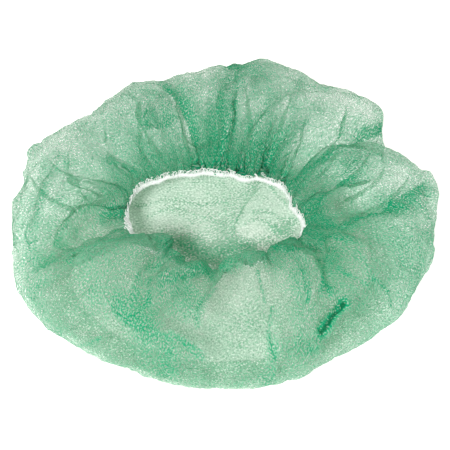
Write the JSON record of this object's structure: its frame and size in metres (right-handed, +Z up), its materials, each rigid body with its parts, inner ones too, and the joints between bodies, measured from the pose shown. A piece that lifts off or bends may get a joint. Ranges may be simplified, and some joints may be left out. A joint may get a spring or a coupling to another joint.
{
  "type": "bouffant cap",
  "caption": "Disposable bouffant cap of green nonwoven, puffed up and lying on its crown, with a white elastic gathering its mouth.",
  "frame": {"origin": "on the surface the cap lies on, under the middle of its bounding box", "axes": "+Z up out of the mouth, +X the picture's right, +Y away from the picture's camera"},
  "size_m": [0.3064, 0.311, 0.0879],
  "materials": {
    "nonwoven_green": "thin translucent spunbond nonwoven, matt",
    "elastic_white": "overlocked white elastic, matt"
  },
  "bodies": {
    "root": {"cap_body": "nonwoven_green", "elastic_band": "elastic_white"}
  },
  "joints": []
}
